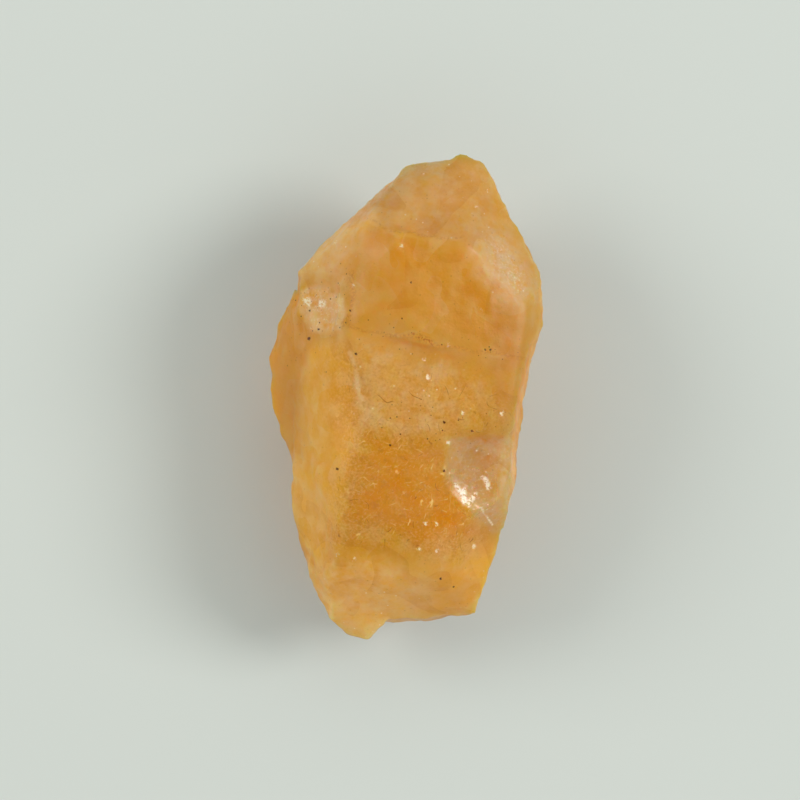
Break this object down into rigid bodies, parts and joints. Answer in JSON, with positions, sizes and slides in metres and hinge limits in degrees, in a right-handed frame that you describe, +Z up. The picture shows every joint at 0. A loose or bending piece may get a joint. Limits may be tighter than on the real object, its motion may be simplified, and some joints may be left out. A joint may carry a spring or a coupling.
{
  "type": "rough topaz crystal",
  "caption": "Rough topaz crystal: a broken, frosted honey-orange piece with a pointed end, a stepped cleavage ledge, a shell-shaped chip and a flat face to rest on.",
  "frame": {"origin": "middle of the stone's outline, on the flat fracture face that it rests on", "axes": "+Y along the crystal's length towards its pointed end, +X across it towards the side with the large chip, +Z up from the resting face"},
  "size_m": [0.0098, 0.0182, 0.008],
  "materials": {
    "topaz": "satin"
  },
  "bodies": {
    "root": {"topaz": "topaz"}
  },
  "joints": []
}
